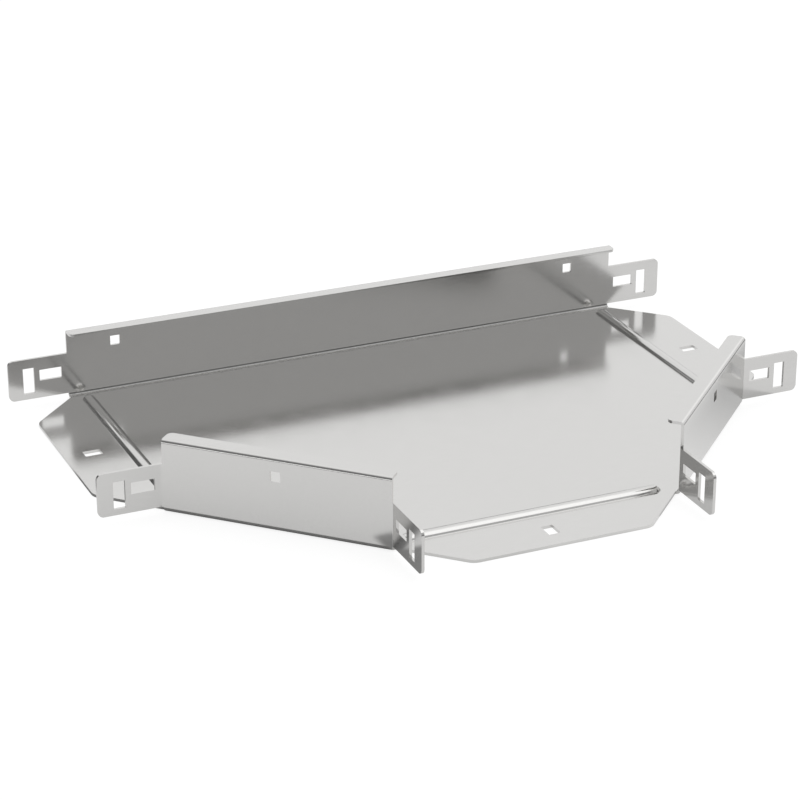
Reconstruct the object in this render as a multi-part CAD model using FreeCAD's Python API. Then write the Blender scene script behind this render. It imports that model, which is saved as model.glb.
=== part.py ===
"""Cable tray tee: one steel sheet, pressed and folded into a floor with three side walls.

The origin is where the centrelines of the run and the branch cross, on the floor's underside.
X follows the run, +Y points at the straight back wall, and -Y is the branch's way out.
All sizes are in millimetres.
"""
import FreeCAD, Part
import math
import os

from FreeCAD import Placement, Rotation, Vector

# Sheet and clear sizes
sheet = 2.0                 # thickness of the metal
clear_width = 200.0         # between the walls' inner faces, in the run and in the branch alike
side_height = 51.4          # from the floor's underside to the top of the lips
leg = 112.0                 # what a diagonal wall takes from the run, and from the branch

# Folds, each by its inner radius
floor_bend = 2.0            # floor to wall
lip_bend = 1.0              # wall to lip
ear_bend = 1.5              # diagonal wall to ear

# Lips, turned inwards along the top of each wall
lip_width = 12.0            # from the wall's outer face to the lip's edge
lip_corner = 4.0            # round of the lip's two free corners

# Ears, by which the tee is bolted to the side rails of the next lengths of tray
ear_length = 43.0           # beyond the wall's end
ear_height = 30.0           # the ear starts just above the floor bend
ear_corner = 4.0
tall_slot = (8.0, 19.0)     # width along the ear, height
tall_slot_reach = 28.4      # from the wall's end to the slot's middle
tall_slot_rise = 13.75      # from the ear's lower edge to the slot's middle
flat_slot = (16.0, 8.0)
flat_slot_reach = 12.5
flat_slot_rise = 16.8

# Flaps, the tongues of the floor that lie under the next lengths of tray
flap_reach = 34.0           # beyond the opening
flap_corner = 10.0
flap_step_round = 1.0       # inner corner where a flap leaves the back wall's fold
flap_slot = (8.0, 12.0)     # across the opening, along it
flap_slot_reach = 14.5      # from the opening to the slot's middle

# Beads, pressed upwards across the floor at each opening
bead_inset = 11.0           # from the opening to the bead's centreline
bead_width = 9.8
bead_height = 3.1
bead_crown = 5.0            # outer radius along the bead's top
bead_end_gap = 7.5          # from each wall's inner face to the bead's tip

# Square holes for the necks of carriage bolts
wall_hole = 7.0
wall_hole_drop = 13.0       # from the top of the lip to the hole's middle
wall_hole_inset = 35.5      # from the back wall's end to the hole's middle

# Places that follow from the sizes above
half_clear = clear_width / 2
half_outer = half_clear + sheet
opening = half_outer + leg              # from the origin to each of the three openings
flap_tip = opening + flap_reach
EIGHTH_TURN = math.pi / 4               # equal legs set the diagonal walls at this angle
fold_depth = sheet + floor_bend         # what the floor fold takes, inwards and upwards
flap_root = half_outer - fold_depth / math.cos(EIGHTH_TURN)     # flap's half width at the opening
wall_hole_level = side_height - wall_hole_drop
cut_margin = sheet                      # how far a punch passes each face
z_axis = Vector(0, 0, 1)


def rounded_plate(corners, bottom, thickness):
    """Level plate through (x, y, radius) corners, given anticlockwise."""
    edges, joints = [], []
    for index, (x, y, radius) in enumerate(corners):
        here = Vector(x, y, bottom)
        before = Vector(*corners[index - 1][:2], bottom) - here
        after = Vector(*corners[(index + 1) % len(corners)][:2], bottom) - here
        before.normalize()
        after.normalize()
        half_angle = before.getAngle(after) / 2
        if radius == 0:
            joints.append((here, here))
            continue
        first = here + before * (radius / math.tan(half_angle))
        last = here + after * (radius / math.tan(half_angle))
        inwards = (before + after).normalize()
        middle = here + inwards * (radius / math.sin(half_angle) - radius)
        edges.append(Part.Arc(first, middle, last).toShape())
        joints.append((first, last))
    for index, (first, last) in enumerate(joints):
        edges.append(Part.makeLine(joints[index - 1][1], first))
    outline = Part.Wire(Part.__sortEdges__(edges))
    return Part.Face(outline).extrude(Vector(0, 0, thickness))


def punch(width, depth, height, middle):
    """Square-cornered block about its middle, for a slot or hole."""
    return Part.makeBox(width, depth, height, middle - Vector(width, depth, height) / 2)


def quarter(centre, radius, up):
    """Quarter circle in the YZ plane, from the +Y side up or down to the vertical."""
    lean = radius * math.sqrt(0.5)
    rise = radius if up else -radius
    middle = centre + Vector(0, lean, math.copysign(lean, rise))
    return Part.Arc(centre + Vector(0, radius, 0), middle, centre + Vector(0, 0, rise)).toShape()


def wall_section(start):
    """Section of a wall with both its folds, its outer face on the XZ plane."""
    low = Vector(start, -fold_depth, fold_depth)
    high = Vector(start, -sheet - lip_bend, side_height - sheet - lip_bend)
    low_outer, low_inner = quarter(low, fold_depth, False), quarter(low, floor_bend, False)
    high_outer, high_inner = quarter(high, sheet + lip_bend, True), quarter(high, lip_bend, True)
    outer_face = Part.makeLine(low_outer.firstVertex().Point, high_outer.firstVertex().Point)
    inner_face = Part.makeLine(low_inner.firstVertex().Point, high_inner.firstVertex().Point)
    floor_end = Part.makeLine(low_outer.lastVertex().Point, low_inner.lastVertex().Point)
    lip_end = Part.makeLine(high_outer.lastVertex().Point, high_inner.lastVertex().Point)
    edges = [low_outer, outer_face, high_outer, lip_end, high_inner, inner_face, low_inner, floor_end]
    return Part.Face(Part.Wire(Part.__sortEdges__(edges)))


def lip(half_length):
    """Flat of the lip, beyond its fold, with its free corners rounded."""
    root = -sheet - lip_bend
    corners = [(half_length, root, 0), (-half_length, root, 0),
               (-half_length, -lip_width, lip_corner), (half_length, -lip_width, lip_corner)]
    return rounded_plate(corners, side_height - sheet, sheet)


def ear(wall_end, setback, turn):
    """Ear at a wall's +X end, turned outwards about an upright line by the given angle."""
    flat = ear_length - setback
    corners = [(ear_height, 0, 0), (ear_height, flat, ear_corner), (0, flat, ear_corner), (0, 0, 0)]
    plate = rounded_plate(corners, 0, sheet)
    for (width, height), reach, rise in ((tall_slot, tall_slot_reach, tall_slot_rise),
                                         (flat_slot, flat_slot_reach, flat_slot_rise)):
        middle = Vector(rise, reach - setback, sheet / 2)
        plate = plate.cut(punch(height, width, sheet + 2 * cut_margin, middle))
    upright = Rotation(Vector(0, 0, 1), Vector(1, 0, 0), Vector(0, 1, 0), "ZXY")
    plate.Placement = Placement(Vector(wall_end, -sheet, fold_depth), upright)
    if turn == 0:
        return plate
    hinge = Vector(wall_end, ear_bend, 0)
    root = Part.makePlane(ear_height, sheet, Vector(wall_end, 0, fold_depth),
                          Vector(1, 0, 0), Vector(0, 0, 1))
    fold = root.revolve(hinge, z_axis, math.degrees(turn))
    plate.rotate(hinge, z_axis, math.degrees(turn))
    return plate.fuse(fold)


def side_wall(length, turn):
    """Wall with its lip and two ears, centred on X, with its outer face on the XZ plane."""
    setback = ear_bend * math.tan(turn / 2)
    wall_end = length / 2 - setback
    web = wall_section(-wall_end).extrude(Vector(2 * wall_end, 0, 0))
    right_ear = ear(wall_end, setback, turn)
    left_ear = right_ear.mirror(Vector(0, 0, 0), Vector(1, 0, 0))
    return web.fuse([lip(wall_end), right_ear, left_ear])


def wall_punch(along):
    """Punch for one square hole in a wall."""
    middle = Vector(along, -sheet / 2, wall_hole_level)
    return punch(wall_hole, sheet + 2 * cut_margin, wall_hole, middle)


def back_wall():
    """Straight wall along the whole run."""
    wall = side_wall(2 * opening, 0)
    place = opening - wall_hole_inset
    wall = wall.cut([wall_punch(-place), wall_punch(place)])
    wall.translate(Vector(0, half_outer, 0))
    return wall


def diagonal_wall():
    """Wall between the run's +X opening and the branch's opening."""
    wall = side_wall(leg / math.cos(EIGHTH_TURN), EIGHTH_TURN).cut(wall_punch(0))
    wall.rotate(Vector(0, 0, 0), z_axis, -math.degrees(3 * EIGHTH_TURN))
    middle = (half_outer + opening) / 2
    wall.translate(Vector(middle, -middle, 0))
    return wall


def bead_form(level, crown, foot, length):
    """Round-ended ridge standing on the given level, centred on X: a press tool's form."""
    half_width = bead_width / 2
    slope = 2 * math.atan(bead_height / half_width)

    def on_crown(angle):
        return Vector(0, crown * math.sin(angle), level + bead_height - crown * (1 - math.cos(angle)))

    def on_foot(angle):
        return Vector(0, half_width - foot * math.sin(angle), level + foot * (1 - math.cos(angle)))

    axis_foot = Vector(0, 0, level)
    half_edges = [Part.makeLine(axis_foot, on_foot(0)),
                  Part.Arc(on_foot(0), on_foot(slope / 2), on_foot(slope)).toShape(),
                  Part.Arc(on_crown(slope), on_crown(slope / 2), on_crown(0)).toShape(),
                  Part.makeLine(on_crown(0), axis_foot)]
    half_section = Part.Face(Part.Wire(half_edges))
    middle = length / 2 - half_width
    side = half_section.extrude(Vector(2 * middle, 0, 0))
    side.translate(Vector(-middle, 0, 0))
    nose = half_section.revolve(Vector(0, 0, 0), z_axis, -90)
    nose.translate(Vector(middle, 0, 0))
    quarter_pieces = [side, nose, nose.mirror(Vector(0, 0, 0), Vector(1, 0, 0))]
    mirrored = [piece.mirror(Vector(0, 0, 0), Vector(0, 1, 0)) for piece in quarter_pieces]
    return side.fuse(quarter_pieces[1:] + mirrored).removeSplitter()


def at_openings(shape):
    """Copies of a shape made for the branch's opening, one at each of the three openings."""
    copies = []
    for degrees in (-90, 0, 90):
        copy = shape.copy()
        copy.rotate(Vector(0, 0, 0), z_axis, degrees)
        copies.append(copy)
    return copies


def floor():
    """Floor with its three flaps, beads and flap slots."""
    shoulder = flap_root - flap_reach
    back_fold = half_clear - floor_bend
    corners = [(opening, back_fold, 0), (-opening, back_fold, 0),
               (-opening, flap_root, flap_step_round),
               (-flap_tip, shoulder, flap_corner), (-flap_tip, -shoulder, flap_corner),
               (-shoulder, -flap_tip, flap_corner), (shoulder, -flap_tip, flap_corner),
               (flap_tip, -shoulder, flap_corner), (flap_tip, shoulder, flap_corner),
               (opening, flap_root, flap_step_round)]
    plate = rounded_plate(corners, 0, sheet)
    bead_foot = bead_width / 2 / math.sin(2 * math.atan(2 * bead_height / bead_width)) - bead_crown
    bead_length = clear_width - 2 * bead_end_gap
    ridge = bead_form(sheet, bead_crown, bead_foot, bead_length)
    groove = bead_form(0, bead_crown - sheet, bead_foot + sheet, bead_length)
    for form in (ridge, groove):
        form.translate(Vector(0, bead_inset - opening, 0))
    width, length = flap_slot
    slot = punch(width, length, sheet + 2 * cut_margin,
                 Vector(0, -opening - flap_slot_reach, sheet / 2))
    return plate.fuse(at_openings(ridge)).cut(at_openings(groove) + at_openings(slot))


def tee_sheet():
    """Whole tee as one folded sheet."""
    right = diagonal_wall()
    left = right.mirror(Vector(0, 0, 0), Vector(1, 0, 0))
    return floor().fuse([back_wall(), right, left]).removeSplitter()


os.makedirs("parts", exist_ok=True)
tee = tee_sheet()
tee.exportStep("parts/tee_sheet.step")
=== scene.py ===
"""Looks of the cable tray tee: bright cold-rolled stainless steel on a white studio floor.

Units are metres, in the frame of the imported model: X along the run, -Y out of the branch, +Z up.
"""
import math

import bmesh
import bpy
from mathutils import Euler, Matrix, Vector

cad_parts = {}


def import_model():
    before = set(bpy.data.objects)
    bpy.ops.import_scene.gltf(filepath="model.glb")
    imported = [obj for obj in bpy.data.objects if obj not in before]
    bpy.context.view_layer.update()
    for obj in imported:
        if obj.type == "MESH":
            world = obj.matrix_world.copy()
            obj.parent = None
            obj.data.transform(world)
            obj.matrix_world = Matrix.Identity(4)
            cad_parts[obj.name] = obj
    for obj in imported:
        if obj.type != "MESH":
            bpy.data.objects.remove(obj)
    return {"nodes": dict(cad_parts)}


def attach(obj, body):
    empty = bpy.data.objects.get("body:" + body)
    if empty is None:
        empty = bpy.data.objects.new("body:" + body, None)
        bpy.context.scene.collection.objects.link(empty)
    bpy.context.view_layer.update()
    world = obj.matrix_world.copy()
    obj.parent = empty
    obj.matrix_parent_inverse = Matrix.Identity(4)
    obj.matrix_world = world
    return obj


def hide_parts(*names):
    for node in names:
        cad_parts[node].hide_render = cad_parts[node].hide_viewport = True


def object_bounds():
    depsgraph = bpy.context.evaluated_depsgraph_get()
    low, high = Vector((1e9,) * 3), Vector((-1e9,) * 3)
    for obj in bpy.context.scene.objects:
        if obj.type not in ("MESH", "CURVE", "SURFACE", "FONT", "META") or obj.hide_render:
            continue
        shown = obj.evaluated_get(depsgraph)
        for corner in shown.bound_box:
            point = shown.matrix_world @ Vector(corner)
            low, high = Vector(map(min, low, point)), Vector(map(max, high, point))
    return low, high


MM = 0.001
WHITE = (1, 1, 1, 1)
SLANT = math.sqrt(0.5)

# Camera, as it stood for the photograph
CAMERA_PLACE = (-0.6833, -1.5471, 0.7330)
CAMERA_AZIMUTH = 23.731         # degrees to the left of the branch's centreline
CAMERA_ELEVATION = 23.416
CAMERA_ROLL = -0.054
CAMERA_LENS = 117.9
CAMERA_SENSOR = 36
CAMERA_CLIP = 50

# Studio, as brightness seen by the metal. Azimuth runs from the back wall (0) towards +X (90).
DIM_WALLS = 0.22                # where there is no screen
STUDIO_SCREENS = (
    # name, brightness, azimuth, half width, lowest and highest elevation, soft edge, in degrees
    ("front screen", 0.57, 168, 34, 14, 36, 5),
    ("far left corner", 0.12, -46, 27, 0, 16, 3),
    ("far left gap", 0.08, -24, 6, 12, 50, 1.5),
    ("far left screen", 0.75, -40, 10, 18, 46, 3),
    ("back screen", 1.00, 18, 37, 3, 88, 3),
    ("right screen", 1.22, 66, 20, 13, 62, 10),
    ("right screen's foot", 0.92, 66, 22, -9, 14, 6),
    ("left skirting", 1.90, -112, 32, -17, 8, 4),
)
# Ceiling and key light: places are azimuth and elevation, and widths and edges are tangents
CEILING = 1.06
CEILING_PLACE = (90, 90)
CEILING_HALF = (0.85, 0.95)     # along Y and along X
CEILING_EDGE = 0.12
CEILING_FADE = (-1.05, -0.40)   # from nothing on the left to full
LOWEST_RISE = 0.01              # keeps the fade's division clear of the horizon
KEY_LIGHT = 0.38                # added to the ceiling at its brightest place
KEY_PLACE = (115, 57)
KEY_HALF = (0.50, 0.50)
KEY_EDGE = 0.30

# Floor: matt colour, and what is added so that it comes out white
FLOOR_SIZE = 12.0
FLOOR_ALBEDO = 0.25
FLOOR_LIFT = 0.84
# How much of the lift the metal sees, with painted shade from place to place that only the metal
# sees. Pairs are the two ends of a soft change from place to place.
# "Along" is (X + Y) / sqrt(2): it is -0.223 at the left wall's foot.
# "Across" is (X - Y) / sqrt(2): it is 0.223 at the right wall's foot.
FLOOR_SEEN = 0.83               # on the open floor
LEFT_SHADE = 0.72               # painted shade at the left wall's foot
LEFT_FADE = (-0.33, -0.20)      # along, from the open floor to the foot
LEFT_END = (-0.20, -0.18)       # along
FOOT_LINE_SHADE = 0.10                # painted contact shadow close under the left wall's bend
FOOT_LINE_START = (-0.2300, -0.2265)    # along
FOOT_LINE_END = (-0.100, -0.104)        # X
RIGHT_SHADE = (0.91, 0.39)      # painted shade beside the right wall, slightly lighter than the open floor at its front and much darker at its back
RIGHT_FADE = (-0.07, 0.17)      # along, from its front to its back
RIGHT_START = (0.205, 0.220)    # across
RIGHT_END = (0.2490, 0.2525)    # across
FAR_SHADE = 0.10                # painted shade away from the part
FAR_FADE = (0.38, 0.46)         # distance from the origin
PAINTED_FLOOR_SHADE_PATCHES = (
    # places of painted shade: name, how much of the lift, centre along X and Y, half widths along X
    # and Y, soft edge
    ("under the left branch ear", 0.18, -0.1145, -0.236, 0.0135, 0.024, 0.003),
    ("before the right branch ear", 0.60, 0.090, -0.232, 0.015, 0.022, 0.0015),
)

# Steel
STEEL = (0.66, 0.655, 0.645)
GRAIN_SCALE = (120, 900, 900)   # drawn out along the run, as the sheet was rolled
GRAIN_RANGE = (0.25, 0.75)
GRAIN_TONE = (0.985, 1.015)
GRAIN_GLOSS = (-0.01, 0.01)
GRAIN_BUMP = {"Strength": 0.02, "Distance": 0.2 * MM}
CLOUD_SCALE = 45.0
CLOUD_RANGE = (0.3, 0.7)
NOISE_DETAIL = 3.0
ROUGHNESS = (0.14, 0.165)
# Painted shade inside the back wall's fold, darker again at its top, with a painted highlight strip
# beside it
FOLD_AXIS = (0, 98 * MM, 4 * MM)
FOLD_REACH = (3.1 * MM, 2.9 * MM)       # from the axis, between the sheet's two faces
FOLD_START = (97.9 * MM, 98.6 * MM)     # along Y
FOLD_TOP = (4.0 * MM, 3.7 * MM)         # height
FOLD_SHADE = 0.57
CREASE_START = (2.3 * MM, 2.8 * MM)     # height
CREASE_SHADE = 0.78
# painted highlight on the strip beside the fold
PAINTED_STRIP_HIGHLIGHT = 1.18
STRIP_START = (94.5 * MM, 96.5 * MM)    # along Y
STRIP_END = (98.8 * MM, 98.6 * MM)      # along Y
STRIP_BOTTOM = (1.2 * MM, 1.5 * MM)     # height
STRIP_TOP = (2.6 * MM, 2.3 * MM)        # height

# Broken edges
EDGE_BREAK = 0.18 * MM
SHARP = math.radians(38)        # edges sharper than this are cut edges
FLAT = math.radians(0.5)        # faces that meet more flatly than this are joined
WELD = 0.005 * MM

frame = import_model()
cad_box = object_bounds()


class Nodes:
    """Short calls for building a node tree."""

    def __init__(self, tree):
        self.tree = tree
        tree.nodes.clear()

    def add(self, kind, inputs=(), **settings):
        made = self.tree.nodes.new(kind)
        for name, value in settings.items():
            setattr(made, name, value)
        for socket, value in dict(inputs).items():
            self.feed(made.inputs[socket], value)
        return made

    def feed(self, socket, value):
        if isinstance(value, bpy.types.NodeSocket):
            self.tree.links.new(value, socket)
        else:
            socket.default_value = value

    def math(self, operation, *values):
        return self.add("ShaderNodeMath", enumerate(values), operation=operation).outputs[0]

    def product(self, first, *others):
        for other in others:
            first = self.math("MULTIPLY", first, other)
        return first

    def vector(self, operation, output, *values):
        made = self.add("ShaderNodeVectorMath", enumerate(values), operation=operation)
        return made.outputs[output]

    def dot(self, vector, other):
        return self.vector("DOT_PRODUCT", "Value", vector, other)

    def step(self, value, start, end, low=0.0, high=1.0):
        """Soft change from low to high while the value goes from start to end."""
        inputs = {"Value": value, "From Min": start, "From Max": end, "To Min": low, "To Max": high}
        return self.add("ShaderNodeMapRange", inputs, interpolation_type="SMOOTHSTEP").outputs[0]

    def within(self, value, half, edge):
        """1 while the value is nearer to 0 than half, and 0 beyond its soft edge."""
        return self.step(self.math("ABSOLUTE", value), half + edge, half - edge)

    def blend(self, mask, low, high):
        return self.add("ShaderNodeMix", {"Factor": mask, "A": low, "B": high}).outputs["Result"]

    def noise(self, vector, scale):
        inputs = {"Vector": vector, "Scale": scale, "Detail": NOISE_DETAIL}
        return self.add("ShaderNodeTexNoise", inputs).outputs[0]

    def direct_ray(self, light_path):
        """1 for what the camera sees, straight or through glass."""
        return self.math("MAXIMUM", light_path["Is Camera Ray"], light_path["Is Transmission Ray"])


def direction(azimuth, elevation):
    """Unit vector at an azimuth measured from +Y towards +X, in degrees."""
    a, e = math.radians(azimuth), math.radians(elevation)
    return Vector((math.sin(a) * math.cos(e), math.cos(a) * math.cos(e), math.sin(e)))


def screen(nodes, azimuth, elevation, centre, half_width, lowest, highest, edge):
    """Soft-edged patch between two azimuths and two elevations: 1 inside it and 0 outside."""
    aside = nodes.math("WRAP", nodes.math("SUBTRACT", azimuth, centre), 180.0, -180.0)
    return nodes.product(nodes.within(aside, half_width, edge),
                         nodes.step(elevation, lowest - edge, lowest + edge),
                         nodes.step(elevation, highest + edge, highest - edge))


def panel(nodes, ray, place, half_sizes, edge):
    """Soft-edged flat rectangle square to its direction: 1 inside it and 0 outside."""
    azimuth, elevation = place
    ahead = direction(azimuth, elevation)
    across = direction(azimuth + 90, 0)
    upward = across.cross(ahead)
    depth = nodes.dot(ray, ahead)
    mask = nodes.math("GREATER_THAN", depth, 0.0)
    for axis, half in zip((across, upward), half_sizes):
        aside = nodes.math("DIVIDE", nodes.dot(ray, axis), depth)
        mask = nodes.product(mask, nodes.within(aside, half, edge))
    return mask


def world():
    """White to the camera; to the metal, a soft studio with pale screens and a bright ceiling."""
    made = bpy.data.worlds.new("studio")
    bpy.context.scene.world = made
    made.use_nodes = True
    nodes = Nodes(made.node_tree)
    place = nodes.add("ShaderNodeTexCoord").outputs["Generated"]
    ray = nodes.vector("NORMALIZE", 0, place)
    parts = nodes.add("ShaderNodeSeparateXYZ", {0: ray}).outputs
    azimuth = nodes.math("DEGREES", nodes.math("ARCTAN2", parts["X"], parts["Y"]))
    elevation = nodes.math("DEGREES", nodes.math("ARCSINE", parts["Z"]))
    level = DIM_WALLS
    for _, brightness, *extent in STUDIO_SCREENS:
        level = nodes.blend(screen(nodes, azimuth, elevation, *extent), level, brightness)
    rise = nodes.math("MAXIMUM", parts["Z"], LOWEST_RISE)
    leftward = nodes.math("DIVIDE", parts["X"], rise)
    ceiling = nodes.product(panel(nodes, ray, CEILING_PLACE, CEILING_HALF, CEILING_EDGE),
                            nodes.step(leftward, *CEILING_FADE))
    level = nodes.blend(ceiling, level, CEILING)
    key = nodes.product(panel(nodes, ray, KEY_PLACE, KEY_HALF, KEY_EDGE), KEY_LIGHT)
    level = nodes.math("ADD", level, key)
    studio = nodes.add("ShaderNodeBackground", {"Color": WHITE, "Strength": level})
    white = nodes.add("ShaderNodeBackground", {"Color": WHITE})
    direct = nodes.direct_ray(nodes.add("ShaderNodeLightPath").outputs)
    both = nodes.add("ShaderNodeMixShader", {0: direct, 1: studio.outputs[0], 2: white.outputs[0]})
    nodes.add("ShaderNodeOutputWorld", {"Surface": both.outputs[0]})


def floor_in_mirror_with_painted_shade(nodes):
    """How bright the metal sees the floor, with painted shade at the walls' feet, in a few small
    places and away from the part.
    """
    place = nodes.add("ShaderNodeTexCoord").outputs["Object"]
    along = nodes.dot(place, (SLANT, SLANT, 0))
    across = nodes.dot(place, (SLANT, -SLANT, 0))
    reach = nodes.vector("LENGTH", "Value", place)
    parts = nodes.add("ShaderNodeSeparateXYZ", {0: place}).outputs

    # painted shade at the left wall's foot, and a darker painted line close under its bend
    left = nodes.step(along, *LEFT_FADE, FLOOR_SEEN, LEFT_SHADE)
    foot = nodes.product(nodes.step(along, *FOOT_LINE_START),
                         nodes.step(parts["X"], *FOOT_LINE_END))
    left = nodes.blend(foot, left, FOOT_LINE_SHADE)
    level = nodes.blend(nodes.step(along, *LEFT_END), left, FLOOR_SEEN)

    # painted shade beside the right wall
    right = nodes.step(along, *RIGHT_FADE, *RIGHT_SHADE)
    level = nodes.blend(nodes.step(across, *RIGHT_START), level, right)
    level = nodes.blend(nodes.step(across, *RIGHT_END), level, FLOOR_SEEN)

    # small places of painted shade
    for _, strength, x, y, half_x, half_y, edge in PAINTED_FLOOR_SHADE_PATCHES:
        mask = nodes.product(nodes.within(nodes.math("SUBTRACT", parts["X"], x), half_x, edge),
                             nodes.within(nodes.math("SUBTRACT", parts["Y"], y), half_y, edge))
        level = nodes.blend(mask, level, strength)
    # painted shade away from the part
    return nodes.blend(nodes.step(reach, *FAR_FADE), level, FAR_SHADE)


def floor():
    """Plain white floor with the part's faint shadow. The metal mirrors it nearly as pale, with
    painted shade in places that only the metal sees.
    """
    mesh = bpy.data.meshes.new("floor")
    form = bmesh.new()
    bmesh.ops.create_grid(form, x_segments=1, y_segments=1, size=FLOOR_SIZE / 2)
    form.to_mesh(mesh)
    form.free()
    made = bpy.data.objects.new("floor", mesh)
    bpy.context.scene.collection.objects.link(made)
    material = bpy.data.materials.new("floor_white")
    material.use_nodes = True
    nodes = Nodes(material.node_tree)
    matt = nodes.add("ShaderNodeBsdfDiffuse", {"Color": (FLOOR_ALBEDO,) * 3 + (1,)})
    light_path = nodes.add("ShaderNodeLightPath").outputs
    # the metal sees the lift with painted shade by place
    mirrored = nodes.product(light_path["Is Glossy Ray"], floor_in_mirror_with_painted_shade(nodes))
    seen = nodes.math("ADD", nodes.direct_ray(light_path), mirrored)
    lift = nodes.add("ShaderNodeEmission", {"Strength": nodes.product(seen, FLOOR_LIFT)})
    both = nodes.add("ShaderNodeAddShader", {0: matt.outputs[0], 1: lift.outputs[0]})
    nodes.add("ShaderNodeOutputMaterial", {"Surface": both.outputs[0]})
    mesh.materials.append(material)


def camera():
    """The photograph's camera."""
    data = bpy.data.cameras.new("camera")
    data.sensor_width = CAMERA_SENSOR
    data.lens = CAMERA_LENS
    data.clip_end = CAMERA_CLIP
    made = bpy.data.objects.new("camera", data)
    bpy.context.scene.collection.objects.link(made)
    made.location = CAMERA_PLACE
    turn = Euler((math.radians(90 - CAMERA_ELEVATION), 0, math.radians(-CAMERA_AZIMUTH)), "XYZ")
    roll = Euler((0, 0, math.radians(CAMERA_ROLL)), "XYZ")
    made.rotation_mode = "QUATERNION"
    made.rotation_quaternion = turn.to_quaternion() @ roll.to_quaternion()
    bpy.context.scene.camera = made


def fold_painted_light(nodes, place):
    """Painted shade in the back wall's fold and a painted highlight beside it, as a factor on the
    steel's colour that is 1 everywhere else.
    """
    parts = nodes.add("ShaderNodeSeparateXYZ", {0: place}).outputs
    section = nodes.vector("MULTIPLY", 0, place, (0, 1, 1))
    reach = nodes.vector("DISTANCE", "Value", section, FOLD_AXIS)
    inside = nodes.product(nodes.step(parts["Y"], *FOLD_START),
                           nodes.step(parts["Z"], *FOLD_TOP),
                           nodes.step(reach, *FOLD_REACH))
    # painted shade in the fold, darker towards its top
    fold = nodes.step(parts["Z"], *CREASE_START, FOLD_SHADE, FOLD_SHADE * CREASE_SHADE)
    upper = nodes.product(nodes.step(parts["Y"], *STRIP_END),
                          nodes.step(parts["Z"], *STRIP_BOTTOM),
                          nodes.step(parts["Z"], *STRIP_TOP))
    # painted highlight on the strip in front of the fold
    strip = nodes.blend(upper, 1.0, nodes.step(parts["Y"], *STRIP_START, 1.0, PAINTED_STRIP_HIGHLIGHT))
    return nodes.blend(inside, strip, fold)


def steel():
    """Stainless sheet with a faint rolled grain, a cloudy change of gloss, and painted shade and
    highlight at the back wall's fold.
    """
    made = bpy.data.materials.new("stainless_sheet")
    made.use_nodes = True
    nodes = Nodes(made.node_tree)
    place = nodes.add("ShaderNodeTexCoord").outputs["Object"]
    rolled = nodes.add("ShaderNodeMapping", {"Vector": place, "Scale": GRAIN_SCALE}).outputs[0]
    grain = nodes.noise(rolled, 1.0)
    cloud = nodes.noise(place, CLOUD_SCALE)
    # the grain's own tone times the painted shade and highlight at the fold
    grain_and_painted_fold_light = nodes.product(nodes.step(grain, *GRAIN_RANGE, *GRAIN_TONE), fold_painted_light(nodes, place))
    steel_colour_with_painted_light = nodes.add("ShaderNodeCombineColor",
                     {i: nodes.product(grain_and_painted_fold_light, STEEL[i]) for i in range(3)}).outputs[0]
    roughness = nodes.math("ADD", nodes.step(cloud, *CLOUD_RANGE, *ROUGHNESS),
                           nodes.step(grain, *GRAIN_RANGE, *GRAIN_GLOSS))
    bump = nodes.add("ShaderNodeBump", {**GRAIN_BUMP, "Height": grain}).outputs[0]
    shader = nodes.add("ShaderNodeBsdfPrincipled", {
        "Base Color": steel_colour_with_painted_light, "Metallic": 1.0, "Roughness": roughness, "Normal": bump})
    nodes.add("ShaderNodeOutputMaterial", {"Surface": shader.outputs[0]})
    return made


def broken_edges(node, material):
    """The sheet again, with its cut edges broken by a hair so that they catch the light."""
    form = bmesh.new()
    form.from_mesh(node.data)
    bmesh.ops.remove_doubles(form, verts=form.verts, dist=WELD)
    bmesh.ops.dissolve_limit(form, angle_limit=FLAT, verts=form.verts, edges=form.edges)
    cut = [edge for edge in form.edges if edge.calc_face_angle(0) > SHARP]
    bmesh.ops.bevel(form, geom=cut, offset=EDGE_BREAK, offset_type="OFFSET", segments=1,
                    affect="EDGES", clamp_overlap=True)
    low, high = (Vector(corner) for corner in cad_box)
    for vert in form.verts:
        vert.co = [min(max(vert.co[i], low[i]), high[i]) for i in range(3)]
    form.normal_update()
    normals = []
    for vert in form.verts:
        weighted = (face.normal * face.calc_area() for face in vert.link_faces)
        normals.append(sum(weighted, Vector()).normalized())
    mesh = bpy.data.meshes.new("sheet_visible")
    form.to_mesh(mesh)
    form.free()
    mesh.polygons.foreach_set("use_smooth", [True] * len(mesh.polygons))
    mesh.normals_split_custom_set_from_vertices(normals)
    mesh.materials.append(material)
    piece = bpy.data.objects.new("sheet_visible", mesh)
    bpy.context.scene.collection.objects.link(piece)
    piece.matrix_world = node.matrix_world
    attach(piece, "root")
    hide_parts("tee_sheet")


world()
floor()
camera()
broken_edges(frame["nodes"]["tee_sheet"], steel())
bpy.context.scene.view_settings.view_transform = "Standard"
